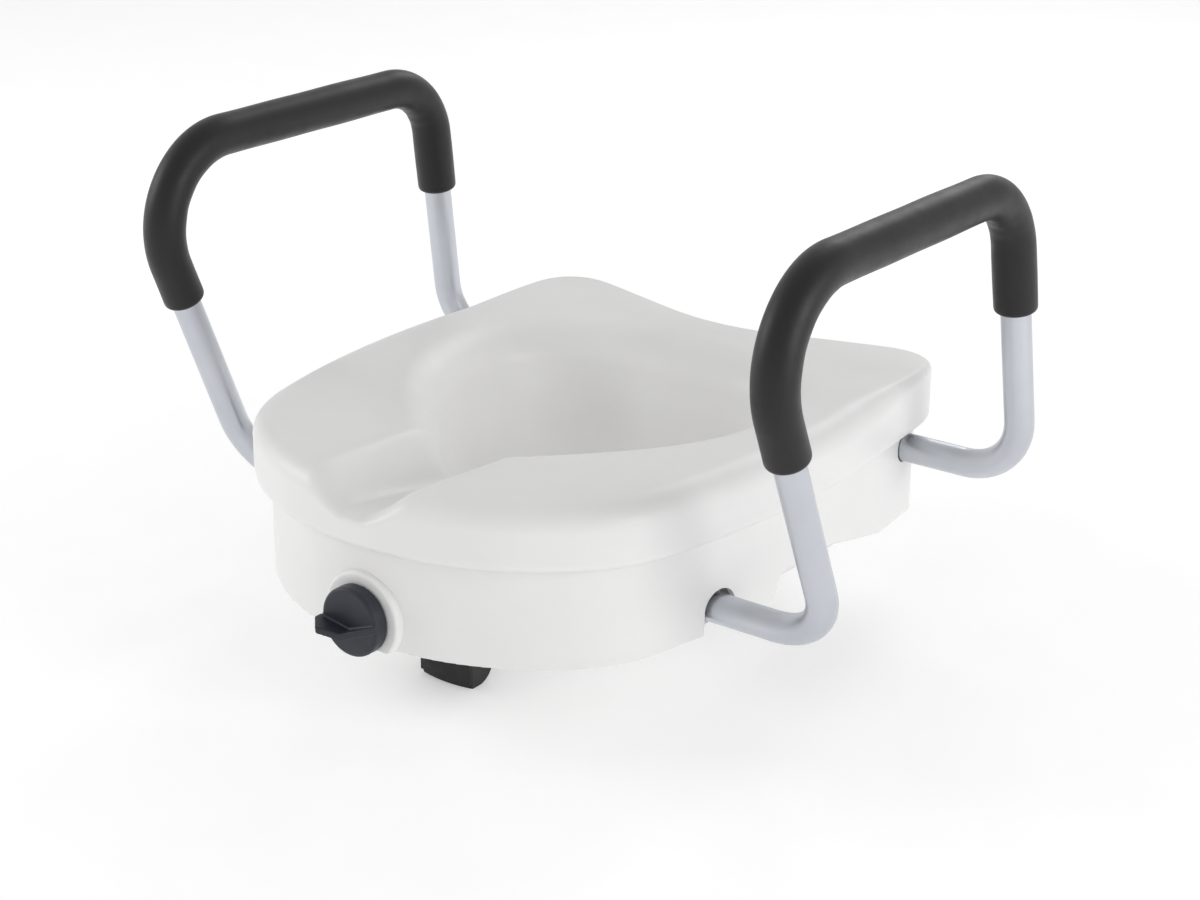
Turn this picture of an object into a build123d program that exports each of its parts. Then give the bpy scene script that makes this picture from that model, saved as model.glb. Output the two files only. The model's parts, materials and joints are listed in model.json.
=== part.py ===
"""Raised toilet seat with clamp lock and removable padded arms.

Frame: X to the user's left-right (+X is the right of someone facing the seat), -Y is the front with the
lock knob, +Y is the cistern side, +Z is up. The origin is below the middle of the seat, level with the
lowest point of the clamp foot and the rear hooks. All sizes are millimetres.
"""
import os

from build123d import *

os.makedirs("parts", exist_ok=True)

# Heights
RIM_Z = 62  # underside of the seat, where it rests on the bowl rim
SEAT_H = 120  # underside to sitting surface
TOP_Z = RIM_Z + SEAT_H
SEAM_Z = RIM_Z + 75  # lower edge of the overhanging upper moulding
BOWL_EDGE_Z = RIM_Z + 3  # lower edge of the funnel inside the opening

# Seat outline: corners of its right half, from the front to the back, each with its radius
OUTLINE = [(82, -226), (170, -147), (208, 5), (181, 256)]
OUTLINE_RADII = [200, 110, 640, 34]
REAR_MIDDLE = (0, 204)
REAR_MIDDLE_R = 200
SKIRT_IN = 12  # how far the skirt stands in from the seat outline
LIP_GAP = 0.5  # gap between the skirt and the upper moulding's lip

# Bowl opening at the sitting surface: corners of its right half, each with its radius
BOWL = [(24, -114), (132, 14), (130, 150)]
BOWL_RADII = [50, 150, 75]
BOWL_TAPER = 12.5  # slope of the funnel wall from the vertical, degrees
FLOOR_OPENING_IN = 16  # how far the floor's opening stands in from the bowl outline

WALL = 4
FLOOR_T = 4
RIM_ROUND = 18
LIP_ROUND = 5
SKIRT_ROUND = 2  # lower edge of the skirt
SKIRT_TOP_Z = TOP_Z - 3 * WALL
FUNNEL_TOP_Z = TOP_Z - WALL / 2  # where the funnel's outer surface starts, inside the roof
FUNNEL_OUT = 6  # funnel outer surface from the bowl outline, at its top
PAST_FRONT = 240  # cuts from the front start this far out

# Front recess, a round-bottomed channel from the opening out through the front
RECESS_TOP_W = 80
RECESS_BOTTOM_W = 30
RECESS_FRONT_Z = TOP_Z - 19  # floor of the recess where its cut starts; it falls towards the bowl
RECESS_BACK_Z = TOP_Z - 38  # floor where its cut ends, inside the bowl opening
RECESS_ROUND = 12
RECESS_SHOULDER = 10
RECESS_CUT_L = 190
RECESS_WALL_TOP = 12  # how far the wall round the recess reaches past its top edges
SKIRT_GAP_W = 112  # the skirt is cut down to this width below the recess
SKIRT_GAP_Z = TOP_Z - 31

# Arms
TUBE_R = 11
TUBE_WALL = 1.5
GRIP_R = 16
FOAM_CLEARANCE = 0.05
ARM_FRONT_Y = -50
ARM_REAR_Y = 203
FRONT_TUBE_Z = RIM_Z + 17
REAR_TUBE_Z = RIM_Z + 58
BAR_Z = RIM_Z + 285
BAR_FRONT_Y = -161
BAR_REAR_Y = 167
BAR_X = 267
FRONT_LEG_X = 270
REAR_LEG_X = 273
FRONT_END_X = 118  # inner ends of the tubes
REAR_END_X = 128
LOW_BEND = 45
FRONT_TOP_BEND = 64
REAR_TOP_BEND = 54
GRIP_FRONT_Z = RIM_Z + 167  # ends of the foam
GRIP_REAR_Z = RIM_Z + 191
ARM_STEP = 15  # spacing of the three width positions

# Guides that hold the arm tubes
BORE_CLEARANCE = 0.06
FRONT_GUIDE_X = 98
REAR_GUIDE_X = 108
FRONT_GUIDE_L = 72
REAR_GUIDE_L = 46
GUIDE_HALF = 14
GUIDE_ROOF_T = 3
FLANGE_T = 4
FLANGE_W = 13

# Snap buttons
BUTTON_R = 3.2
BUTTON_X = FRONT_END_X + 20
BUTTON_OUT = 5
BUTTON_FOOT_R = 4.4
BUTTON_FOOT_T = 1.5
BUTTON_FOOT_Z = 6  # underside of the button's foot above the tube's axis
BUTTON_ROUND = 1.6
BUTTON_HOLE_R = 4.2  # holes in the front guide, and the slot that joins them
BUTTON_SLOT_W = 7.2

# Lock
KNOB_Z = RIM_Z + 21
KNOB_R = 25
KNOB_T = 11
KNOB_Y = -219.6  # back face of the knob
BOSS_R = 33
BOSS_FRONT_Y = -218.4
BOSS_REAR_Y = -200
BOSS_ROUND = 3
HUB_R = 13
HUB_END_Y = -198
SPINDLE_R = 5
SPINDLE_END_Y = -104
CLAMP_Y = -132  # front face of the clamp foot
CLAMP_DEPTH = 26
CLAMP_HALF = 23
NUT_AF = 16
NUT_T = 10
CLAMP_TRAVEL = 30
CLAMP_SLOT_L = 84
SLOT_PLAY = 2
CLAMP_SAG = 3  # how far the curved front face falls back at its sides
HEEL_ROUND = 16
CARRIAGE_PLAY = 0.4

# Rear hooks
HOOK_X = 62
HOOK_Y = 140
HOOK_W = 36
HOOK_T = 5
HOOK_TOE = 26

NOTCH_R = 15  # opening in the skirt for a front tube
REAR_HOLE_R = 12  # hole in the skirt for a rear tube
SIDE_ARCH = [(8, 0), (14, 24), (72, 24), (168, 0)]  # hollow in the skirt's lower edge: Y, height
SIDE_ARCH_RADII = (12, 60)
WALL_CUT_IN = 162  # cuts through the side walls run between these distances from the middle
WALL_CUT_OUT = 230

# Small pieces
SCREW_HEAD_T = 1.8
SCREW_HEAD_R = 3.9
SCREW_R = 1.9
SCREW_L = 20
SCREW_HOLE_R = 2
SCREW_START = 0.5  # small screws end this far above the underside
PILOT_DEPTH = 22
POST_R = 6
PAD_T = 2.5
PAD_L = 44
PAD_W = 14
GRIP_END_ROUND = 1.8
PLUG_CAP_T = 2
PLUG_L = 10
SPRING_W = 6
SPRING_T = 0.8
SPRING_DROP = 8
SPRING_HEEL = 30  # bend of the spring, outward of the button
GUIDE_FRONT_H = FRONT_TUBE_Z + TUBE_R + GUIDE_ROOF_T - RIM_Z - FLOOR_T
GUIDE_REAR_H = REAR_TUBE_Z + TUBE_R + GUIDE_ROOF_T - RIM_Z - FLOOR_T
WING_T = 5
WING_DIP = 7
WING_OUT = 15.5
WING_TURN = 6  # the handle's wing stands turned by this angle, degrees
WING_ROOT = 1  # how far the wing starts inside the disc
WING_HALF = 26.5
DISC_FRONT_Y = KNOB_Y - KNOB_T
WING_PLAN = [(-26.5, 5), (-17, WING_OUT), (4, 9), (24, 3)]  # front edge: across, out from the disc
KNOB_SOCKET = 7
KNOB_ROUND = 2.5
COLLAR_R = 9
COLLAR_T = 5
WASHER_T = 1
WASHER_R = 14
COLLAR_GAP = 0.3
CARRIAGE_UP = 14
CLAMP_PAD_LOW = 4
CLAMP_PAD_H = 42
PAD_Z = 30  # middle of the hook pads
HOOK_PAD_H = 28
CLAMP_PAD_T = 3
HOOK_FLANGE = 26
TUBE_ENDS = [(FRONT_END_X, ARM_FRONT_Y, FRONT_TUBE_Z), (REAR_END_X, ARM_REAR_Y, REAR_TUBE_Z)]
POSTS = [(84, -158), (150, 66), (26, 182)]
PAD_SPOTS = [(88, -128), (124, 148)]
SCREW_OUT = GUIDE_HALF + 7  # guide screws from the middle of the guide
FRONT_SCREWS = [(FRONT_GUIDE_X + dx, ARM_FRONT_Y + side * SCREW_OUT) for dx in (14, 58) for side in (-1, 1)]
REAR_SCREWS = [(REAR_GUIDE_X + dx, ARM_REAR_Y - SCREW_OUT) for dx in (10, 36)]
GUIDE_SCREWS = [(side * x, y) for x, y in FRONT_SCREWS + REAR_SCREWS for side in (-1, 1)]
HOOK_SCREWS = [(side * (HOOK_X + dx), HOOK_Y + 16) for dx in (-10, 10) for side in (-1, 1)]


def mirrored(points):
    """The same points on the other side of the seat, in the order that closes the outline."""
    return [(-x, y) for x, y in reversed(points)]


def seat_face(inset=0):
    """Seat outline, drawn in by an inset."""
    with BuildLine() as edge:
        FilletPolyline(
            *OUTLINE, REAR_MIDDLE, *mirrored(OUTLINE),
            radius=[*OUTLINE_RADII, REAR_MIDDLE_R, *reversed(OUTLINE_RADII)],
            close=True,
        )
        if inset:
            offset(amount=-inset, mode=Mode.REPLACE)
    make_face(edge.edges())


def bowl_face(inset=0):
    """Outline of the bowl opening, drawn in by an inset."""
    with BuildLine() as edge:
        FilletPolyline(
            *BOWL, *mirrored(BOWL), radius=[*BOWL_RADII, *reversed(BOWL_RADII)], close=True
        )
        if inset:
            offset(amount=-inset, mode=Mode.REPLACE)
    make_face(edge.edges())


def recess_face(floor_z):
    """Cross-section cut away for the front recess, with its shoulders rounded over."""
    top = RECESS_TOP_W / 2
    bottom = RECESS_BOTTOM_W / 2
    shoulder = top + 2 * RECESS_SHOULDER
    above_z = TOP_Z + WALL
    with BuildLine() as section:
        FilletPolyline(
            (-shoulder, TOP_Z), (-top, TOP_Z), (-bottom, floor_z),
            (bottom, floor_z), (top, TOP_Z), (shoulder, TOP_Z),
            radius=(RECESS_SHOULDER, RECESS_ROUND, RECESS_ROUND, RECESS_SHOULDER),
        )
        Polyline((shoulder, TOP_Z), (shoulder, above_z), (-shoulder, above_z), (-shoulder, TOP_Z))
    make_face(section.edges())


def recess_outer_face(floor_z):
    """Cross-section of the recess with its wall."""
    top = RECESS_TOP_W / 2 + RECESS_WALL_TOP
    bottom = RECESS_BOTTOM_W / 2 + WALL
    with BuildLine() as section:
        FilletPolyline(
            (-top, TOP_Z), (-bottom, floor_z - WALL), (bottom, floor_z - WALL), (top, TOP_Z),
            radius=RECESS_ROUND + WALL,
        )
        Line((top, TOP_Z), (-top, TOP_Z))
    make_face(section.edges())


def cut_recess(section):
    """Cut a recess section away from the front end to the bowl end."""
    with BuildSketch(Plane.XZ.offset(PAST_FRONT)) as front:
        section(RECESS_FRONT_Z)
    with BuildSketch(Plane.XZ.offset(PAST_FRONT - RECESS_CUT_L)) as back:
        section(RECESS_BACK_Z)
    loft([front.sketch.face(), back.sketch.face()], ruled=True, mode=Mode.SUBTRACT)


def save(piece, name):
    piece.part.label = name
    export_step(piece.part, f"parts/{name}.step")


# ---------------------------------------------------------------- upper moulding
with BuildPart() as seat_hollow:
    with BuildSketch(Plane.XY.offset(SEAM_Z + WALL)):
        seat_face(WALL)
    extrude(amount=TOP_Z - SEAM_Z - 2 * WALL)
    fillet(seat_hollow.edges().group_by(Axis.Z)[-1], RIM_ROUND - WALL)
    cut_recess(recess_outer_face)

with BuildPart() as seat_top:
    with BuildSketch(Plane.XY.offset(SEAM_Z)):
        seat_face()
    extrude(amount=TOP_Z - SEAM_Z)
    fillet(seat_top.edges().group_by(Axis.Z)[-1], RIM_ROUND)
    fillet(seat_top.edges().group_by(Axis.Z)[0], LIP_ROUND)
    add(seat_hollow.part, mode=Mode.SUBTRACT)
    with BuildSketch(Plane.XY.offset(SEAM_Z)):
        seat_face(SKIRT_IN - LIP_GAP)
    extrude(amount=WALL, mode=Mode.SUBTRACT)
    with BuildSketch(Plane.XY.offset(FUNNEL_TOP_Z)):
        bowl_face(-FUNNEL_OUT)
    extrude(amount=BOWL_EDGE_Z - FUNNEL_TOP_Z, taper=BOWL_TAPER)
    with Locations(*[(side * x, y, RIM_Z + FLOOR_T) for x, y in POSTS for side in (-1, 1)]):
        Cylinder(POST_R, TOP_Z - WALL - RIM_Z - FLOOR_T, align=(Align.CENTER, Align.CENTER, Align.MIN))
        Cylinder(SCREW_R, PILOT_DEPTH, align=(Align.CENTER, Align.CENTER, Align.MIN), mode=Mode.SUBTRACT)
    with BuildSketch(Plane.XY.offset(TOP_Z)):
        bowl_face()
    extrude(amount=BOWL_EDGE_Z - TOP_Z, taper=BOWL_TAPER, mode=Mode.SUBTRACT)
    cut_recess(recess_face)
save(seat_top, "seat_top")


# ---------------------------------------------------------------- lower moulding
with BuildPart() as base_skirt:
    with BuildSketch(Plane.XY.offset(RIM_Z)):
        seat_face(SKIRT_IN)
    extrude(amount=SKIRT_TOP_Z - RIM_Z)
    fillet(base_skirt.edges().group_by(Axis.Z)[0], SKIRT_ROUND)
    with BuildSketch(Plane.XY.offset(RIM_Z + FLOOR_T)):
        seat_face(SKIRT_IN + WALL)
    extrude(amount=SEAT_H, mode=Mode.SUBTRACT)
    with BuildSketch(Plane.XZ.offset(-BOSS_FRONT_Y)):
        with Locations((0, KNOB_Z)):
            Circle(BOSS_R)
    extrude(amount=BOSS_FRONT_Y - BOSS_REAR_Y)
    fillet(base_skirt.edges().group_by(Axis.Y)[0], BOSS_ROUND)
    with BuildSketch(Plane.XZ.offset(-BOSS_REAR_Y)):
        with Locations((0, KNOB_Z)):
            Circle(HUB_R)
    extrude(amount=BOSS_REAR_Y - HUB_END_Y)
    split(bisect_by=Plane.XY.offset(RIM_Z), keep=Keep.TOP)
    with BuildSketch(Plane.XZ.offset(PAST_FRONT)):
        with Locations((0, KNOB_Z)):
            Circle(SPINDLE_R + BORE_CLEARANCE)
    extrude(amount=-PAST_FRONT - HUB_END_Y - WALL, mode=Mode.SUBTRACT)
    with BuildSketch(Plane.XY.offset(RIM_Z)):
        bowl_face(FLOOR_OPENING_IN)
        with Locations((0, CLAMP_Y - CLAMP_TRAVEL - SLOT_PLAY)):
            Rectangle(2 * (CLAMP_HALF + LIP_GAP), CLAMP_SLOT_L, align=(Align.CENTER, Align.MIN))
        with Locations(*[(side * HOOK_X, HOOK_Y) for side in (-1, 1)]):
            Rectangle(HOOK_W + LIP_GAP, HOOK_T + LIP_GAP)
    extrude(amount=FLOOR_T, mode=Mode.SUBTRACT)
    for start_x in (-WALL_CUT_OUT, WALL_CUT_IN):
        with BuildSketch(Plane.YZ.offset(start_x)):
            with Locations((ARM_FRONT_Y, FRONT_TUBE_Z)):
                Circle(NOTCH_R)
            with Locations((ARM_FRONT_Y, RIM_Z)):
                Rectangle(2 * NOTCH_R, 2 * (FRONT_TUBE_Z - RIM_Z))
            with Locations((ARM_REAR_Y, REAR_TUBE_Z)):
                Circle(REAR_HOLE_R)
            with BuildLine():
                arch = FilletPolyline(*[(y, RIM_Z + h) for y, h in SIDE_ARCH], radius=SIDE_ARCH_RADII)
                Line(arch @ 1, arch @ 0)
            make_face()
        extrude(amount=WALL_CUT_OUT - WALL_CUT_IN, mode=Mode.SUBTRACT)
    with BuildSketch(Plane.XZ.offset(PAST_FRONT)):
        with Locations((0, SKIRT_GAP_Z)):
            Rectangle(SKIRT_GAP_W, SEAT_H, align=(Align.CENTER, Align.MIN))
    extrude(amount=-RECESS_CUT_L, mode=Mode.SUBTRACT)
    with Locations(*[(side * x, y, RIM_Z) for x, y in POSTS for side in (-1, 1)]):
        Cylinder(SCREW_HOLE_R, FLOOR_T, align=(Align.CENTER, Align.CENTER, Align.MIN), mode=Mode.SUBTRACT)
    with Locations(*[(x, y, RIM_Z) for x, y in GUIDE_SCREWS + HOOK_SCREWS]):
        Cylinder(SCREW_HOLE_R, FLOOR_T, align=(Align.CENTER, Align.CENTER, Align.MIN), mode=Mode.SUBTRACT)
save(base_skirt, "base_skirt")

with BuildPart() as shell_screws:
    with Locations(*[(side * x, y, RIM_Z - SCREW_HEAD_T) for x, y in POSTS for side in (-1, 1)]):
        Cylinder(SCREW_HEAD_R, SCREW_HEAD_T, align=(Align.CENTER, Align.CENTER, Align.MIN))
        Cylinder(SCREW_R, SCREW_L, align=(Align.CENTER, Align.CENTER, Align.MIN))
save(shell_screws, "shell_screws")

with BuildPart() as rim_pads:
    with BuildSketch(Plane.XY.offset(RIM_Z - PAD_T)):
        with Locations(*[(side * x, y) for x, y in PAD_SPOTS for side in (-1, 1)]):
            SlotOverall(PAD_L, PAD_W)
    extrude(amount=PAD_T)
save(rim_pads, "rim_pads")

# ---------------------------------------------------------------- arms
ARM_ROUTE = [
    TUBE_ENDS[0],
    (FRONT_LEG_X, ARM_FRONT_Y, FRONT_TUBE_Z),
    (BAR_X, BAR_FRONT_Y, BAR_Z),
    (BAR_X, BAR_REAR_Y, BAR_Z),
    (REAR_LEG_X, ARM_REAR_Y, REAR_TUBE_Z),
    TUBE_ENDS[1],
]


def along(start, end, z):
    """Point at a height on the straight line between two points."""
    share = (z - start[2]) / (end[2] - start[2])
    return tuple(a + share * (b - a) for a, b in zip(start, end))


GRIP_ROUTE = [
    along(ARM_ROUTE[1], ARM_ROUTE[2], GRIP_FRONT_Z),
    ARM_ROUTE[2],
    ARM_ROUTE[3],
    along(ARM_ROUTE[3], ARM_ROUTE[4], GRIP_REAR_Z),
]

with BuildPart() as arm_tube_right:
    with BuildLine():
        FilletPolyline(*ARM_ROUTE, radius=[LOW_BEND, FRONT_TOP_BEND, REAR_TOP_BEND, LOW_BEND])
    with BuildSketch(Plane(origin=ARM_ROUTE[0], z_dir=(1, 0, 0))):
        Circle(TUBE_R)
        Circle(TUBE_R - TUBE_WALL, mode=Mode.SUBTRACT)
    sweep()
    with Locations((BUTTON_X, ARM_FRONT_Y, FRONT_TUBE_Z)):
        Cylinder(
            BUTTON_R + BORE_CLEARANCE, 2 * TUBE_R,
            align=(Align.CENTER, Align.CENTER, Align.MIN), mode=Mode.SUBTRACT,
        )

with BuildPart() as foam_grip_right:
    with BuildLine() as grip_line:
        FilletPolyline(*GRIP_ROUTE, radius=[FRONT_TOP_BEND, REAR_TOP_BEND])
    with BuildSketch(Plane(origin=grip_line.line @ 0, z_dir=grip_line.line % 0)):
        Circle(GRIP_R)
        Circle(TUBE_R + FOAM_CLEARANCE, mode=Mode.SUBTRACT)
    sweep()
    end_edges = foam_grip_right.edges().filter_by(GeomType.CIRCLE).filter_by(
        lambda edge: abs(edge.radius - GRIP_R) < 0.1 and edge.length > 6 * GRIP_R
    )
    fillet(end_edges, GRIP_END_ROUND)

with BuildPart() as tube_plugs_right:
    for end_x, y, z in TUBE_ENDS:
        with BuildSketch(Plane(origin=(end_x - PLUG_CAP_T, y, z), z_dir=(1, 0, 0))):
            Circle(TUBE_R)
        extrude(amount=PLUG_CAP_T)
        with BuildSketch(Plane(origin=(end_x, y, z), z_dir=(1, 0, 0))):
            Circle(TUBE_R - TUBE_WALL)
        extrude(amount=PLUG_L)

with BuildPart() as snap_button_right:
    with BuildSketch(Plane.XY.offset(FRONT_TUBE_Z + BUTTON_FOOT_Z)):
        with Locations((BUTTON_X, ARM_FRONT_Y)):
            Circle(BUTTON_FOOT_R)
    extrude(amount=BUTTON_FOOT_T)
    with BuildSketch(Plane.XY.offset(FRONT_TUBE_Z + BUTTON_FOOT_Z + BUTTON_FOOT_T)):
        with Locations((BUTTON_X, ARM_FRONT_Y)):
            Circle(BUTTON_R)
    extrude(amount=TUBE_R + BUTTON_OUT - BUTTON_FOOT_Z - BUTTON_FOOT_T)
    fillet(snap_button_right.edges().group_by(Axis.Z)[-1], BUTTON_ROUND)

with BuildPart() as button_spring_right:
    with BuildSketch(Plane.XZ.offset(-ARM_FRONT_Y - SPRING_W / 2)):
        with BuildLine():
            Polyline(
                (BUTTON_X - SPRING_W, FRONT_TUBE_Z - SPRING_DROP),
                (BUTTON_X + SPRING_HEEL - SPRING_W, FRONT_TUBE_Z - SPRING_DROP),
                (BUTTON_X + SPRING_HEEL, FRONT_TUBE_Z),
                (BUTTON_X + SPRING_HEEL - SPRING_W, FRONT_TUBE_Z + SPRING_DROP),
                (BUTTON_X + SPRING_HEEL / 2, FRONT_TUBE_Z + SPRING_DROP),
            )
            offset(amount=SPRING_T / 2)
        make_face()
    extrude(amount=SPRING_W)

for piece, name in (
    (arm_tube_right, "arm_tube"), (foam_grip_right, "foam_grip"), (tube_plugs_right, "tube_plugs"),
    (snap_button_right, "snap_button"), (button_spring_right, "button_spring"),
):
    save(piece, f"{name}_right")
    with BuildPart() as left_piece:
        mirror(piece.part, about=Plane.YZ)
    save(left_piece, f"{name}_left")

# ---------------------------------------------------------------- tube guides
with BuildPart() as guide_front_right:
    with BuildSketch(Plane.YZ.offset(FRONT_GUIDE_X)):
        with Locations((ARM_FRONT_Y, RIM_Z + FLOOR_T)):
            Rectangle(2 * GUIDE_HALF, GUIDE_FRONT_H, align=(Align.CENTER, Align.MIN))
            Rectangle(2 * GUIDE_HALF + 2 * FLANGE_W, FLANGE_T, align=(Align.CENTER, Align.MIN))
    extrude(amount=FRONT_GUIDE_L)
    with BuildSketch(Plane.YZ.offset(FRONT_GUIDE_X)):
        with Locations((ARM_FRONT_Y, FRONT_TUBE_Z)):
            Circle(TUBE_R + BORE_CLEARANCE)
    extrude(amount=FRONT_GUIDE_L, mode=Mode.SUBTRACT)
    with BuildSketch(Plane.XY.offset(FRONT_TUBE_Z)):
        with Locations((BUTTON_X - ARM_STEP, ARM_FRONT_Y)):
            SlotCenterToCenter(2 * ARM_STEP, BUTTON_SLOT_W)
        with Locations(*[(BUTTON_X - i * ARM_STEP, ARM_FRONT_Y) for i in range(3)]):
            Circle(BUTTON_HOLE_R)
    extrude(amount=2 * TUBE_R, mode=Mode.SUBTRACT)
    with Locations(*[(x, y, RIM_Z + FLOOR_T) for x, y in FRONT_SCREWS]):
        Cylinder(SCREW_HOLE_R, FLANGE_T, align=(Align.CENTER, Align.CENTER, Align.MIN), mode=Mode.SUBTRACT)

with BuildPart() as guide_rear_right:
    with BuildSketch(Plane.YZ.offset(REAR_GUIDE_X)):
        with Locations((ARM_REAR_Y, RIM_Z + FLOOR_T)):
            Rectangle(2 * GUIDE_HALF, GUIDE_REAR_H, align=(Align.CENTER, Align.MIN))
        with Locations((ARM_REAR_Y + GUIDE_HALF, RIM_Z + FLOOR_T)):
            Rectangle(2 * GUIDE_HALF + FLANGE_W, FLANGE_T, align=(Align.MAX, Align.MIN))
    extrude(amount=REAR_GUIDE_L)
    with BuildSketch(Plane.YZ.offset(REAR_GUIDE_X)):
        with Locations((ARM_REAR_Y, REAR_TUBE_Z)):
            Circle(TUBE_R + BORE_CLEARANCE)
    extrude(amount=REAR_GUIDE_L, mode=Mode.SUBTRACT)
    with Locations(*[(x, y, RIM_Z + FLOOR_T) for x, y in REAR_SCREWS]):
        Cylinder(SCREW_HOLE_R, FLANGE_T, align=(Align.CENTER, Align.CENTER, Align.MIN), mode=Mode.SUBTRACT)

for piece, name in ((guide_front_right, "tube_guide_front"), (guide_rear_right, "tube_guide_rear")):
    save(piece, f"{name}_right")
    with BuildPart() as left_piece:
        mirror(piece.part, about=Plane.YZ)
    save(left_piece, f"{name}_left")

with BuildPart() as guide_screws:
    with Locations(*[(x, y, RIM_Z + SCREW_START) for x, y in GUIDE_SCREWS]):
        Cylinder(SCREW_R, FLOOR_T + FLANGE_T - SCREW_START, align=(Align.CENTER, Align.CENTER, Align.MIN))
    with Locations(*[(x, y, RIM_Z + FLOOR_T + FLANGE_T) for x, y in GUIDE_SCREWS]):
        Cylinder(SCREW_HEAD_R, SCREW_HEAD_T, align=(Align.CENTER, Align.CENTER, Align.MIN))
save(guide_screws, "guide_screws")

# ---------------------------------------------------------------- lock
with BuildPart() as knob_wing:
    with BuildSketch(Plane.XZ.offset(-KNOB_Y + KNOB_T - WING_ROOT)):
        with BuildLine():
            Polyline(
                (-WING_HALF, WING_T / 2), (0, WING_T / 2 - WING_DIP), (WING_HALF, WING_T / 2),
                (WING_HALF, -WING_T / 2), (0, -WING_T / 2 - WING_DIP), (-WING_HALF, -WING_T / 2),
                close=True,
            )
        make_face()
    extrude(amount=WING_OUT + WING_ROOT)
    with BuildSketch(Plane.XY.offset(-WING_HALF)):
        with BuildLine():
            Polyline(
                (-WING_HALF, DISC_FRONT_Y + WING_ROOT), *[(x, DISC_FRONT_Y - out) for x, out in WING_PLAN],
                (WING_PLAN[-1][0], DISC_FRONT_Y + WING_ROOT), close=True,
            )
        make_face()
    extrude(amount=2 * WING_HALF, mode=Mode.INTERSECT)

with BuildPart() as lock_knob:
    with BuildSketch(Plane.XZ.offset(-KNOB_Y)):
        with Locations((0, KNOB_Z)):
            Circle(KNOB_R)
    extrude(amount=KNOB_T)
    fillet(lock_knob.edges().group_by(Axis.Y)[0], KNOB_ROUND)
    with Locations((0, 0, KNOB_Z)):
        add(knob_wing.part, rotation=(0, -WING_TURN, 0))
    with BuildSketch(Plane.XZ.offset(-KNOB_Y)):
        with Locations((0, KNOB_Z)):
            Circle(SPINDLE_R)
    extrude(amount=KNOB_SOCKET, mode=Mode.SUBTRACT)
save(lock_knob, "lock_knob")

with BuildPart() as spindle:
    with BuildSketch(Plane.XZ.offset(-KNOB_Y + KNOB_SOCKET)):
        with Locations((0, KNOB_Z)):
            Circle(SPINDLE_R)
    extrude(amount=-(SPINDLE_END_Y - KNOB_Y + KNOB_SOCKET))
save(spindle, "spindle")

with BuildPart() as spindle_collar:
    with BuildSketch(Plane.XZ.offset(-HUB_END_Y - COLLAR_GAP)):
        with Locations((0, KNOB_Z)):
            Circle(COLLAR_R)
            Circle(SPINDLE_R, mode=Mode.SUBTRACT)
    extrude(amount=-COLLAR_T)
save(spindle_collar, "spindle_collar")

with BuildPart() as knob_washer:
    with BuildSketch(Plane.XZ.offset(-BOSS_FRONT_Y)):
        with Locations((0, KNOB_Z)):
            Circle(WASHER_R)
            Circle(SPINDLE_R + BORE_CLEARANCE, mode=Mode.SUBTRACT)
    extrude(amount=WASHER_T)
save(knob_washer, "knob_washer")

NUT_Y = CLAMP_Y + (CLAMP_DEPTH - NUT_T) / 2
with BuildPart() as clamp_carriage:
    with BuildSketch():
        with BuildLine():
            ThreePointArc(
                (-CLAMP_HALF, CLAMP_Y + CLAMP_SAG), (0, CLAMP_Y), (CLAMP_HALF, CLAMP_Y + CLAMP_SAG)
            )
            Polyline(
                (CLAMP_HALF, CLAMP_Y + CLAMP_SAG), (CLAMP_HALF, CLAMP_Y + CLAMP_DEPTH),
                (-CLAMP_HALF, CLAMP_Y + CLAMP_DEPTH), (-CLAMP_HALF, CLAMP_Y + CLAMP_SAG),
            )
        make_face()
    extrude(amount=KNOB_Z + CARRIAGE_UP)
    heel = clamp_carriage.edges().group_by(Axis.Z)[0].sort_by(Axis.Y)[-1]
    fillet(heel, HEEL_ROUND)
    with BuildSketch(Plane.XZ.offset(-CLAMP_Y)):
        with Locations((0, KNOB_Z)):
            Circle(SPINDLE_R + CARRIAGE_PLAY)
    extrude(amount=-CLAMP_DEPTH, mode=Mode.SUBTRACT)
    with BuildSketch(Plane.XZ.offset(-NUT_Y)):
        with Locations((0, KNOB_Z)):
            RegularPolygon(NUT_AF / 2 + BORE_CLEARANCE, 6, major_radius=False)
    extrude(amount=-NUT_T, mode=Mode.SUBTRACT)
save(clamp_carriage, "clamp_carriage")

with BuildPart() as clamp_nut:
    with BuildSketch(Plane.XZ.offset(-NUT_Y)):
        with Locations((0, KNOB_Z)):
            RegularPolygon(NUT_AF / 2, 6, major_radius=False)
            Circle(SPINDLE_R + BORE_CLEARANCE, mode=Mode.SUBTRACT)
    extrude(amount=-NUT_T)
save(clamp_nut, "clamp_nut")

with BuildPart() as clamp_pad:
    with BuildSketch(Plane.XY.offset(CLAMP_PAD_LOW)):
        with BuildLine():
            for front in (0, CLAMP_PAD_T):
                ThreePointArc(
                    (-CLAMP_HALF, CLAMP_Y + CLAMP_SAG - front), (0, CLAMP_Y - front),
                    (CLAMP_HALF, CLAMP_Y + CLAMP_SAG - front),
                )
            for x in (-CLAMP_HALF, CLAMP_HALF):
                Line((x, CLAMP_Y + CLAMP_SAG), (x, CLAMP_Y + CLAMP_SAG - CLAMP_PAD_T))
        make_face()
    extrude(amount=CLAMP_PAD_H)
save(clamp_pad, "clamp_pad")

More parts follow.
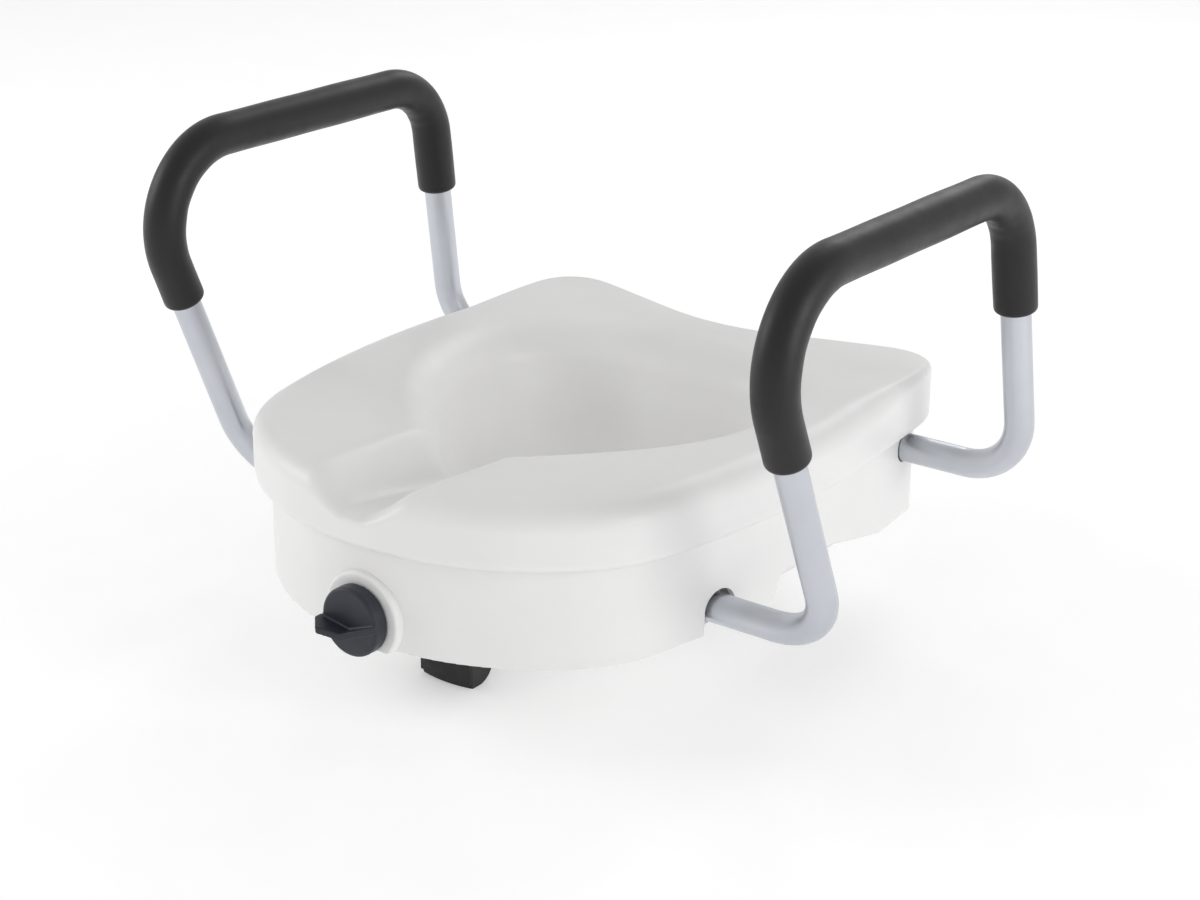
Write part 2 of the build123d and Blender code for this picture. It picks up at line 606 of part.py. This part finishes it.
# ---------------------------------------------------------------- rear hooks
for side, name in ((-1, "left"), (1, "right")):
    with BuildPart() as rear_hook:
        with BuildSketch(Plane.YZ.offset(side * HOOK_X - HOOK_W / 2)):
            with BuildLine():
                Polyline(
                    (HOOK_Y - HOOK_T / 2, 0), (HOOK_Y - HOOK_T / 2, RIM_Z + FLOOR_T + HOOK_T),
                    (HOOK_Y + HOOK_FLANGE, RIM_Z + FLOOR_T + HOOK_T),
                    (HOOK_Y + HOOK_FLANGE, RIM_Z + FLOOR_T),
                    (HOOK_Y + HOOK_T / 2, RIM_Z + FLOOR_T), (HOOK_Y + HOOK_T / 2, HOOK_T),
                    (HOOK_Y + HOOK_TOE, HOOK_T), (HOOK_Y + HOOK_TOE, 0), close=True,
                )
            make_face()
        extrude(amount=HOOK_W)
        with Locations(*[(x, y, RIM_Z + FLOOR_T) for x, y in HOOK_SCREWS if x * side > 0]):
            Cylinder(SCREW_HOLE_R, HOOK_T, align=(Align.CENTER, Align.CENTER, Align.MIN), mode=Mode.SUBTRACT)
    save(rear_hook, f"rear_hook_{name}")
    with BuildPart() as hook_pad:
        with BuildSketch(Plane.XZ.offset(-HOOK_Y - HOOK_T / 2)):
            with Locations((side * HOOK_X, PAD_Z)):
                RectangleRounded(HOOK_W - 2 * CLAMP_PAD_T, HOOK_PAD_H, CLAMP_PAD_T)
        extrude(amount=-CLAMP_PAD_T)
    save(hook_pad, f"hook_pad_{name}")

with BuildPart() as hook_screws:
    with Locations(*[(x, y, RIM_Z + SCREW_START) for x, y in HOOK_SCREWS]):
        Cylinder(SCREW_R, FLOOR_T + HOOK_T - SCREW_START, align=(Align.CENTER, Align.CENTER, Align.MIN))
    with Locations(*[(x, y, RIM_Z + FLOOR_T + HOOK_T) for x, y in HOOK_SCREWS]):
        Cylinder(SCREW_HEAD_R, SCREW_HEAD_T, align=(Align.CENTER, Align.CENTER, Align.MIN))
save(hook_screws, "hook_screws")
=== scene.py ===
"""Looks for the raised toilet seat: a smooth upper moulding, foam grips and procedural materials
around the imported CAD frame. Lengths are metres, in the frame's own axes."""
import json
from math import cos, pi, radians, sin, sqrt, tan

import bpy
from mathutils import Matrix, Vector
from mathutils.bvhtree import BVHTree


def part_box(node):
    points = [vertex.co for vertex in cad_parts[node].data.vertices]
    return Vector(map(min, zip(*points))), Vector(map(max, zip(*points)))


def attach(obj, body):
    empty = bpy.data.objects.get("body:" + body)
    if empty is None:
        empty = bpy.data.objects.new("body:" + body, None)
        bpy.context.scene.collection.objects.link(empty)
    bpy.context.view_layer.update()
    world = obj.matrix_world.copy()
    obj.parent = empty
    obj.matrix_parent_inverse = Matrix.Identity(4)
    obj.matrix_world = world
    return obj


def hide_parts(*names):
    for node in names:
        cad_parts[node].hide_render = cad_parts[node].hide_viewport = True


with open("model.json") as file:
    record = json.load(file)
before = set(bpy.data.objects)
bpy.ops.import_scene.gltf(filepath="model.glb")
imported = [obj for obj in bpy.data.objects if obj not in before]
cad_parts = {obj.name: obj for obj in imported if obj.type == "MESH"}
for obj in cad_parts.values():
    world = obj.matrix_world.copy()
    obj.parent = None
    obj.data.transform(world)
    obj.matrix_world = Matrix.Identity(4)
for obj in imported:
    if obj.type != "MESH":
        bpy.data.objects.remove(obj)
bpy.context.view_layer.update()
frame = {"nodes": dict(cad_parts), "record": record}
MM = 0.001

# Camera, at the photograph's viewing angle
AZIMUTH = radians(38)
ELEVATION = radians(21.2)
DISTANCE = 1.774
TARGET = Vector((0, -0.012, 0.144))
LENS = 72.8  # millimetres, as the sensor is
SENSOR = 36
SHIFT = (0.043, -0.003)  # of the lens, in widths of the picture
SIGHT = 50  # how far the camera sees

# Studio. Lights: place, what each points at, diameter and watts
LIGHTS = {
    "key": ((-2.3, -1.1, 1.2), (0, 0, 0.12), 1.3, 15),
    "fill": ((2.4, 0.1, 0.9), (0, 0, 0.12), 1.2, 14),
    "rear": ((-0.5, 2.3, 1.8), (0, 0, 0.2), 1.2, 8),
}
SKY_LOW = 0.79  # brightness of the surroundings at the horizon
SKY_HIGH = 0.57  # and overhead
SKY_START = 0.1  # height in the sky, 0 to 1, from which they darken
FLOOR_HALF = 12  # half the floor's side
FLOOR_GLOW = 0.24

# Materials
DRIFT = 14  # frequency, per metre, of the drift of colour
BLOTCH = 90  # and of the drift of gloss
NOISE_ROUGHNESS = 0.55
NOISE_RANGE = (0.3, 0.7)  # where most of a noise's values lie
BUMP_DISTANCE = 0.4 * MM
BLOTCH_BUMP = 0.4  # strength of the blotches' bump, as a share of the grain's

# Upper moulding
SHELL = 4 * MM  # wall
AROUND = 400  # columns of faces round the seat
FRONT_DENSITY = 0.5  # how much closer the columns stand at the front
ACROSS = 46  # faces from the bowl to the outer edge
WALL_ROWS = 14  # faces down the bowl's wall
BACK_ROWS = 10  # faces down the back of that wall
BAND_ROWS = 6  # faces down the outer band
EDGE_OUT = (21 * MM, 17 * MM)  # rounding of the outer edge: inwards, downwards
EDGE_REAR = 0.35  # share of that rounding left at the rear
REAR_FROM = 0.4  # the rounding is full up to this cosine of the angle from the rear
REAR_OVER = 0.35  # and shrinks while that cosine rises by this much
EDGE_IN = (34 * MM, 28 * MM)  # rounding into the bowl
CHANNEL_EDGE = 0.35  # share of that rounding left where the recess meets the bowl
DISH = 5 * MM  # how much the sitting surface falls towards the bowl
DISH_REACH = 0.85  # share of the sitting surface's width that falls
RECESS_FRONT = 19 * MM  # depth of the recess at RECESS_START
RECESS_START = -240 * MM  # place, from front to back, where that depth is measured
RECESS_FALL = 0.1  # slope of its floor towards the bowl
RECESS_FLAT = 6 * MM  # half the width of the recess's floor
RECESS_SIDE = 46 * MM  # where the recess's sides meet the sitting surface, from the middle
RECESS_EDGE = 0.55  # share of the outer rounding's fall taken away in the recess
LIP_ROUND = 6 * MM
LIP_TURNS = (22, 45, 68, 90)  # degrees round it
LIP_IN = 11.5 * MM  # how far the lip under the outer edge reaches in
BAND_LOW = 75 * MM  # lower edge of the outer band above the underside
SEAT_MIDDLE = Vector((0, 0.03, 0))  # the columns stand round this place
BOWL_EVENED = 60  # passes that round the bowl's outline
OUTLINE_EVENED = 4  # and the seat's outline
MIDWAY = 36 * MM  # depth below the top at which the bowl and outline are taken from the CAD
BOTTOM_GAP = 0.5 * MM  # how far the moulding ends above the CAD node's bottom
BOWL_LOW = 1 * MM  # height above that end at which the bowl is taken from the CAD again

# Foam grips. Heights of the right arm's corners and of the grip's ends are above the underside
GRIP_R = 16 * MM
BORE_R = 11.05 * MM
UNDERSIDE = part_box("base_skirt")[0].z
FRONT_LEG = Vector((270, -50, 17)) * MM
BAR_FRONT = Vector((267, -161, 285)) * MM
BAR_REAR = Vector((267, 167, 285)) * MM
REAR_LEG = Vector((273, 203, 58)) * MM
FRONT_BEND = 64 * MM  # radius of the bend between the front leg and the bar
REAR_BEND = 54 * MM
GRIP_LOW = {"front": 167 * MM, "rear": 191 * MM}
GRIP_INSET = 0.25 * MM  # how much thinner the foam is than the CAD node
GRIP_UNEVEN = 0.2 * MM  # how much its radius wanders
GRIP_WAVES = (61, 23)  # waves of that, in radians per metre
GRIP_END_ROUND = 3 * MM
GRIP_END_ROWS = (0.04, 0.15, 0.35, 0.65)  # rings on each rounded end, as shares of its length
GRIP_STEP = 1.6 * MM  # between rings in a bend
GRIP_SIDES = 48
CREASES = 5  # small folds on the inside of each bend
CREASE_DEPTH = 0.55 * MM

# Knob: size of its faces and passes that soften them
KNOB_VOXEL = 0.6 * MM
KNOB_PASSES = 5


def link(obj):
    """Puts an object in the scene."""
    bpy.context.scene.collection.objects.link(obj)
    return obj


def smooth_mesh(name, points, faces):
    """Mesh object with every face shaded smooth."""
    mesh = bpy.data.meshes.new(name)
    mesh.from_pydata([tuple(p) for p in points], [], faces)
    mesh.validate()
    mesh.shade_smooth()
    return link(bpy.data.objects.new(name, mesh))


def ring_faces(columns, rows):
    """Faces of a closed band: columns go round, rows go round the section too."""
    faces = []
    for i in range(columns):
        for j in range(rows):
            a, b = i * rows, (i + 1) % columns * rows
            faces.append((a + j, b + j, b + (j + 1) % rows, a + (j + 1) % rows))
    return faces


def smoothstep(t):
    """Rise from 0 to 1 with level ends."""
    t = min(max(t, 0.0), 1.0)
    return t * t * (3 - 2 * t)


# ---------------------------------------------------------------- camera, light and floor
def add_camera():
    """Camera at the photograph's viewing angle: front right, looking down a little."""
    back = Vector((sin(AZIMUTH) * cos(ELEVATION), -cos(AZIMUTH) * cos(ELEVATION), sin(ELEVATION)))
    data = bpy.data.cameras.new("camera")
    data.lens = LENS
    data.sensor_width = SENSOR
    data.shift_x, data.shift_y = SHIFT
    data.clip_end = SIGHT
    camera = link(bpy.data.objects.new("camera", data))
    camera.location = TARGET + back * DISTANCE
    camera.rotation_euler = back.to_track_quat("Z", "Y").to_euler()
    bpy.context.scene.camera = camera


def add_area(name, location, target, size, power):
    """Round area light that points at a place."""
    data = bpy.data.lights.new(name, "AREA")
    data.shape = "DISK"
    data.size = size
    data.energy = power
    light = link(bpy.data.objects.new(name, data))
    light.location = location
    light.rotation_euler = (Vector(location) - Vector(target)).to_track_quat("Z", "Y").to_euler()


def sky_gradient(tree, background):
    """Surroundings that are brighter near the horizon than overhead."""
    nodes, links = tree.nodes, tree.links
    direction = nodes.new("ShaderNodeTexCoord").outputs["Generated"]
    split = nodes.new("ShaderNodeSeparateXYZ")
    links.new(direction, split.inputs["Vector"])
    heights = nodes.new("ShaderNodeMapRange")
    heights.inputs["From Min"].default_value = SKY_START
    heights.inputs["From Max"].default_value = 1.0
    heights.inputs["To Min"].default_value = SKY_LOW
    heights.inputs["To Max"].default_value = SKY_HIGH
    links.new(split.outputs["Z"], heights.inputs["Value"])
    links.new(heights.outputs["Result"], background.inputs["Strength"])


def add_studio():
    """White surroundings, three large soft lights and a floor."""
    world = bpy.data.worlds.new("studio")
    world.use_nodes = True
    background = world.node_tree.nodes["Background"]
    background.inputs["Color"].default_value = (1, 1, 1, 1)
    sky_gradient(world.node_tree, background)
    bpy.context.scene.world = world
    for name, row in LIGHTS.items():
        add_area(name, *row)
    mesh = bpy.data.meshes.new("floor")
    corners = [(FLOOR_HALF * x, FLOOR_HALF * y, 0) for x, y in ((-1, -1), (1, -1), (1, 1), (-1, 1))]
    mesh.from_pydata(corners, [], [(0, 1, 2, 3)])
    floor = link(bpy.data.objects.new("floor", mesh))
    floor.data.materials.append(floor_material())
    settings = bpy.context.scene.view_settings
    settings.view_transform = "Standard"
    settings.look = "None"


# ---------------------------------------------------------------- materials
def new_material(name):
    """Material, with its nodes, its links and its shader."""
    material = bpy.data.materials.new(name)
    material.use_nodes = True
    shader = material.node_tree.nodes["Principled BSDF"]
    return material, material.node_tree.nodes, material.node_tree.links, shader


def noise(nodes, links, coordinate, scale, detail):
    """Values of a noise with a frequency per metre."""
    node = nodes.new("ShaderNodeTexNoise")
    node.inputs["Scale"].default_value = scale
    node.inputs["Detail"].default_value = detail
    node.inputs["Roughness"].default_value = NOISE_ROUGHNESS
    links.new(coordinate, node.inputs["Vector"])
    return node.outputs["Fac"]


def ramp(nodes, links, value, low, high):
    """Colours low to high over the middle of a noise's range."""
    node = nodes.new("ShaderNodeValToRGB")
    for element, position, colour in zip(node.color_ramp.elements, NOISE_RANGE, (low, high)):
        element.position = position
        element.color = (*colour, 1)
    links.new(value, node.inputs["Fac"])
    return node.outputs["Color"]


def remap(nodes, links, value, low, high):
    """Numbers low to high over the middle of a noise's range."""
    node = nodes.new("ShaderNodeMapRange")
    node.inputs["From Min"].default_value = NOISE_RANGE[0]
    node.inputs["From Max"].default_value = NOISE_RANGE[1]
    node.inputs["To Min"].default_value = low
    node.inputs["To Max"].default_value = high
    links.new(value, node.inputs["Value"])
    return node.outputs["Result"]


def bump(nodes, links, shader, heights):
    """Bump from the sum of (height, strength) pairs."""
    normal = None
    for height, strength in heights:
        node = nodes.new("ShaderNodeBump")
        node.inputs["Strength"].default_value = strength
        node.inputs["Distance"].default_value = BUMP_DISTANCE
        links.new(height, node.inputs["Height"])
        if normal:
            links.new(normal, node.inputs["Normal"])
        normal = node.outputs["Normal"]
    links.new(normal, shader.inputs["Normal"])


def plain_material(name, low, high, rough, fine, grain, metal=0.0, extra=()):
    """Moulded, foamed or metal surface: a slight drift of colour and gloss, and a fine grain.

    fine is the grain's frequency per metre and grain its strength.
    """
    material, nodes, links, shader = new_material(name)
    coordinate = nodes.new("ShaderNodeTexCoord").outputs["Object"]
    drift = noise(nodes, links, coordinate, DRIFT, detail=3)
    links.new(ramp(nodes, links, drift, low, high), shader.inputs["Base Color"])
    blotch = noise(nodes, links, coordinate, BLOTCH, detail=4)
    links.new(remap(nodes, links, blotch, *rough), shader.inputs["Roughness"])
    shader.inputs["Metallic"].default_value = metal
    for socket, value in extra:
        shader.inputs[socket].default_value = value
    small = noise(nodes, links, coordinate, fine, detail=4)
    bump(nodes, links, shader, [(small, grain), (blotch, grain * BLOTCH_BUMP)])
    return material


def floor_material():
    """Pale floor that glows a little, to stay as light as its surroundings."""
    row = ((0.91, 0.91, 0.91), (0.93, 0.93, 0.93), (0.8, 0.9), 300, 0.02)
    glow = (("Emission Color", (1, 1, 1, 1)), ("Emission Strength", FLOOR_GLOW))
    return plain_material("floor", *row, extra=glow)


def make_materials():
    """One material for each slot of the record.

    A row holds the darkest and lightest colour, the range of roughness, the grain's frequency and
    strength, and 1 for metal.
    """
    body = ((0.80, 0.795, 0.79), (0.83, 0.825, 0.82), (0.34, 0.44), 1100, 0.06)
    steel = ((0.5, 0.5, 0.5), (0.58, 0.58, 0.58), (0.29, 0.38), 400, 0.01, 1.0)
    soft = (("Subsurface Weight", 0.1), ("Subsurface Radius", (0.004, 0.0036, 0.0032)))
    foam = (("Sheen Weight", 0.02), ("Specular IOR Level", 0.42))
    rows = {
        "seat_plastic": body,
        "base_plastic": body,
        "guide_plastic": ((0.58, 0.58, 0.57), (0.64, 0.64, 0.63), (0.45, 0.55), 900, 0.08),
        "black_plastic": ((0.012, 0.012, 0.013), (0.02, 0.02, 0.021), (0.42, 0.55), 1100, 0.1),
        "knob_plastic": ((0.010, 0.011, 0.021), (0.015, 0.017, 0.029), (0.4, 0.52), 1400, 0.14),
        "clamp_plastic": ((0.003, 0.003, 0.0035), (0.006, 0.006, 0.0065), (0.4, 0.52), 1100, 0.1),
        "pad_rubber": ((0.006, 0.006, 0.006), (0.011, 0.011, 0.011), (0.62, 0.78), 1400, 0.2),
        "grip_foam": ((0.0045, 0.004, 0.0043), (0.0075, 0.0067, 0.0072), (0.36, 0.46), 2300, 0.3),
        "tube_aluminium": ((0.54, 0.562, 0.605), (0.60, 0.622, 0.665), (0.29, 0.35), 350, 0.006, 1.0),
        "button_steel": steel,
        "spring_steel": steel,
        "screw_steel": steel,
        "spindle_steel": steel,
    }
    extras = {"seat_plastic": soft, "base_plastic": soft, "grip_foam": foam}
    return {slot: plain_material(slot, *row, extra=extras.get(slot, ())) for slot, row in rows.items()}


def dress(obj, material):
    """Gives an object one material."""
    obj.data.materials.clear()
    obj.data.materials.append(material)


# ---------------------------------------------------------------- upper moulding
def radius_at(tree, angle, z, from_outside):
    """Distance from the seat's middle to the CAD surface, in a direction, at a height."""
    way = Vector((sin(angle), -cos(angle), 0))
    middle = SEAT_MIDDLE + Vector((0, 0, z))
    start = middle + way if from_outside else middle
    hit = tree.ray_cast(start, -way if from_outside else way)[0]
    return (hit - middle).length


def evened(values, passes):
    """Closed list of numbers with each evened against its neighbours."""
    for _ in range(passes):
        values = [
            0.25 * values[i - 1] + 0.5 * values[i] + 0.25 * values[(i + 1) % len(values)]
            for i in range(len(values))
        ]
    return values


def quarter(share):
    """Fall of a rounded edge, 1 at the edge and 0 where it meets the top."""
    share = min(max(share, 0.0), 1.0)
    return 1 - sqrt(1 - (1 - share) ** 2)


def recess_at(r, angle):
    """Depth of the front recess at a place on the seat, and its share of the depth in the middle."""
    if cos(angle) <= 0:
        return 0.0, 0.0
    share = 1 - smoothstep((abs(r * sin(angle)) - RECESS_FLAT) / (RECESS_SIDE - RECESS_FLAT))
    y = SEAT_MIDDLE.y - r * cos(angle)
    return share * (RECESS_FRONT + RECESS_FALL * (y - RECESS_START)), share


def seat_section(reach, mid, bottom, heights, angle):
    """Section through the upper moulding at one angle, from the bowl's lower edge round to its back.

    reach is the distance to the outline, and mid and bottom are the distances to the bowl's wall at
    the second and the first of the heights.
    """
    low_z, mid_z, top, seam = heights
    slope = (mid - bottom) / (mid_z - low_z)

    def wall_radius(z):
        return mid + slope * (z - mid_z)

    cut, share = recess_at(wall_radius(top - EDGE_IN[1]), angle)
    channel = 1 - (1 - CHANNEL_EDGE) * share
    round_in, fall_in = EDGE_IN[0] * channel, EDGE_IN[1] * channel
    rear = 1 - (1 - EDGE_REAR) * smoothstep((-cos(angle) - REAR_FROM) / REAR_OVER)
    round_out, fall_out = EDGE_OUT[0] * rear, EDGE_OUT[1] * rear
    start_z = top - fall_in - cut - DISH
    start_r = wall_radius(start_z)
    wall = []
    for k in range(WALL_ROWS):
        z = low_z + (start_z - low_z) * k / WALL_ROWS
        wall.append((wall_radius(z), z))
    surface = []
    for k in range(ACROSS + 1):
        r = start_r + (0.5 - 0.5 * cos(pi * k / ACROSS)) * (reach - start_r)
        cut, share = recess_at(r, angle)
        z = top - cut - fall_in * quarter((r - start_r) / round_in)
        z -= fall_out * (1 - RECESS_EDGE * share) * quarter((reach - r) / round_out)
        z -= DISH * (1 - smoothstep((r - start_r) / (DISH_REACH * (reach - start_r))))
        surface.append((r, z))
    end_z = surface[-1][1]
    side = []
    for k in range(BAND_ROWS):
        side.append((reach, end_z + (seam + LIP_ROUND - end_z) * (k + 1) / BAND_ROWS))
    curl = [
        (reach - LIP_ROUND * (1 - cos(radians(turn))), seam + LIP_ROUND * (1 - sin(radians(turn))))
        for turn in LIP_TURNS
    ]
    inside = [(reach - LIP_IN, seam), (reach - LIP_IN, seam + SHELL), (reach - 2 * SHELL, seam + SHELL)]
    under = [(max(min(r, reach - 2 * SHELL), start_r + 2 * SHELL), z - SHELL) for r, z in reversed(surface)]
    back = []
    for k in range(BACK_ROWS):
        z = start_z - 2 * SHELL + (low_z - start_z + 2 * SHELL) * (k + 1) / BACK_ROWS
        back.append((wall_radius(z) + SHELL, z))
    return wall + surface + side + curl + inside + under + back


def add_seat_top():
    """Upper moulding: funnel, rounded rim, dished sitting surface with its recess, and outer band."""
    low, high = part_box("seat_top")
    mid_z = high.z - MIDWAY
    low_z = low.z + BOTTOM_GAP
    heights = (low_z, mid_z, high.z, UNDERSIDE + BAND_LOW)
    node = frame["nodes"]["seat_top"]
    corners = [v.co for v in node.data.vertices]
    tree = BVHTree.FromPolygons(corners, [p.vertices for p in node.data.polygons])
    turns = [2 * pi * (i + 0.5) / AROUND for i in range(AROUND)]
    angles = [turn - FRONT_DENSITY * sin(turn) for turn in turns]
    outer = evened([radius_at(tree, a, mid_z, True) for a in angles], OUTLINE_EVENED)
    bowl_mid = evened([radius_at(tree, a, mid_z, False) for a in angles], BOWL_EVENED)
    bowl_low = evened([radius_at(tree, a, low_z + BOWL_LOW, False) for a in angles], BOWL_EVENED)
    points = []
    for angle, reach, mid, bottom in zip(angles, outer, bowl_mid, bowl_low):
        section = seat_section(reach, mid, bottom, heights, angle)
        way = Vector((sin(angle), -cos(angle), 0))
        points += [SEAT_MIDDLE + way * r + Vector((0, 0, z)) for r, z in section]
    return smooth_mesh("seat_shell", points, ring_faces(AROUND, len(section)))


# ---------------------------------------------------------------- foam grips
def at_height(start, end, z):
    """Point at a height on the line through two points."""
    return start.lerp(end, (z - start.z) / (end.z - start.z))


def bend_points(before, corner, after, radius):
    """Points on the arc that rounds a corner, from its start to its end."""
    back, on = (before - corner).normalized(), (after - corner).normalized()
    half = back.angle(on) / 2
    tangent = radius / tan(half)
    middle = corner + (back + on).normalized() * (radius / sin(half))
    start = corner + back * tangent - middle
    axis = start.cross(corner + on * tangent - middle).normalized()
    sweep = pi - 2 * half
    count = int(radius * sweep / GRIP_STEP)
    return [middle + Matrix.Rotation(sweep * k / count, 3, axis) @ start for k in range(count + 1)]


def straight_points(start, end):
    """Points between two places, without the places themselves."""
    count = int((end - start).length / (2 * GRIP_STEP))
    return [start.lerp(end, k / count) for k in range(1, count)]


def grip_route():
    """Centre line of the right grip and, for each point, how far it is into a bend."""
    first = at_height(FRONT_LEG, BAR_FRONT, GRIP_LOW["front"])
    last = at_height(REAR_LEG, BAR_REAR, GRIP_LOW["rear"])
    front = bend_points(first, BAR_FRONT, BAR_REAR, FRONT_BEND)
    rear = bend_points(BAR_FRONT, BAR_REAR, last, REAR_BEND)
    ends = ((first, front[0]), (front[-1], rear[0]), (rear[-1], last))
    legs = [straight_points(*pair) for pair in ends]
    line = [first, *legs[0], *front, *legs[1], *rear, *legs[2], last]
    bend = [0.0] * (1 + len(legs[0]))
    bend += [k / (len(front) - 1) for k in range(len(front))] + [0.0] * len(legs[1])
    bend += [k / (len(rear) - 1) for k in range(len(rear))] + [0.0] * (len(legs[2]) + 1)
    return [point + Vector((0, 0, UNDERSIDE)) for point in line], bend


def grip_radius(along, length, into, inner):
    """Foam radius: rounded ends, a slight unevenness, and small creases inside the bends."""
    wander = GRIP_UNEVEN * sin(along * GRIP_WAVES[0]) * sin(along * GRIP_WAVES[1] + 1)
    radius = GRIP_R - GRIP_INSET - wander
    end = min(along, length - along)
    if end < GRIP_END_ROUND:
        radius -= GRIP_END_ROUND * (1 - sqrt(1 - (1 - end / GRIP_END_ROUND) ** 2))
    crease = sin(pi * into) * max(inner, 0.0) ** 2 * (0.5 + 0.5 * cos(2 * pi * CREASES * into))
    return radius - CREASE_DEPTH * crease


def grip_stations(line, bend):
    """Rings of the right grip: centre, distance along the grip and how far it is into a bend."""
    travelled = [0.0]
    for before, after in zip(line, line[1:]):
        travelled.append(travelled[-1] + (after - before).length)
    length = travelled[-1]
    ends = [0.0] + [GRIP_END_ROUND * share for share in GRIP_END_ROWS]
    head = (line[1] - line[0]).length
    tail = (line[-1] - line[-2]).length
    first = [(line[0].lerp(line[1], end / head), end, 0.0) for end in ends]
    last = [(line[-1].lerp(line[-2], end / tail), length - end, 0.0) for end in reversed(ends)]
    between = []
    for row in zip(line, travelled, bend):
        if GRIP_END_ROUND < row[1] < length - GRIP_END_ROUND:
            between.append(row)
    return first + between + last, length


def add_grip(name, side):
    """Closed foam tube along an arm, round the metal tube."""
    line, bend = grip_route()
    middle = sum(line, Vector()) / len(line)
    stations, length = grip_stations(line, bend)
    outer = [[] for _ in range(GRIP_SIDES)]
    inner = [[] for _ in range(GRIP_SIDES)]
    outward = Vector((1, 0, 0))
    centres = [station[0] for station in stations]
    for i, (centre, along, into) in enumerate(stations):
        ahead = (centres[min(i + 1, len(centres) - 1)] - centres[max(i - 1, 0)]).normalized()
        outward = (outward - ahead * outward.dot(ahead)).normalized()
        up = ahead.cross(outward)
        towards = (middle - centre).normalized()
        for k in range(GRIP_SIDES):
            turn = 2 * pi * k / GRIP_SIDES
            way = outward * cos(turn) + up * sin(turn)
            outer[k].append(centre + way * grip_radius(along, length, into, way.dot(towards)))
            inner[k].append(centre + way * BORE_R)
    points = [p for k in range(GRIP_SIDES) for p in outer[k] + inner[k][::-1]]
    faces = ring_faces(GRIP_SIDES, 2 * len(stations))
    if side > 0:
        return smooth_mesh(name, points, [face[::-1] for face in faces])
    return smooth_mesh(name, [Vector((-p.x, p.y, p.z)) for p in points], faces)


# ---------------------------------------------------------------- knob
def add_soft_copy(name, node_name, voxel, passes):
    """Copy of a CAD node with its hard edges softened as on a moulding."""
    mesh = frame["nodes"][node_name].data.copy()
    copy = link(bpy.data.objects.new(name, mesh))
    remesh = copy.modifiers.new("even", "REMESH")
    remesh.mode = "VOXEL"
    remesh.voxel_size = voxel
    smooth = copy.modifiers.new("soften", "SMOOTH")
    smooth.factor = 0.5
    smooth.iterations = passes
    graph = bpy.context.evaluated_depsgraph_get()
    copy.data = bpy.data.meshes.new_from_object(copy.evaluated_get(graph))
    copy.modifiers.clear()
    copy.data.shade_smooth()
    return copy


def place(piece, body, node_name):
    """Puts a piece on its body, in the place of a CAD node, with that node's material."""
    slot = SLOT_OF[node_name]
    dress(piece, MATERIALS[slot])
    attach(piece, body)
    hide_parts(node_name)


# ---------------------------------------------------------------- build
add_camera()
add_studio()
MATERIALS = make_materials()
SLOT_OF = {entry["node"]: entry["material_slot"] for entry in frame["record"]["subparts"]}
for node_name, node_object in frame["nodes"].items():
    dress(node_object, MATERIALS[SLOT_OF[node_name]])

place(add_seat_top(), "base", "seat_top")
for arm_name, arm_side in (("right", 1), ("left", -1)):
    grip = add_grip(f"grip_{arm_name}", arm_side)
    place(grip, f"arm_{arm_name}", f"foam_grip_{arm_name}")
place(add_soft_copy("soft_knob", "lock_knob", KNOB_VOXEL, KNOB_PASSES), "knob", "lock_knob")
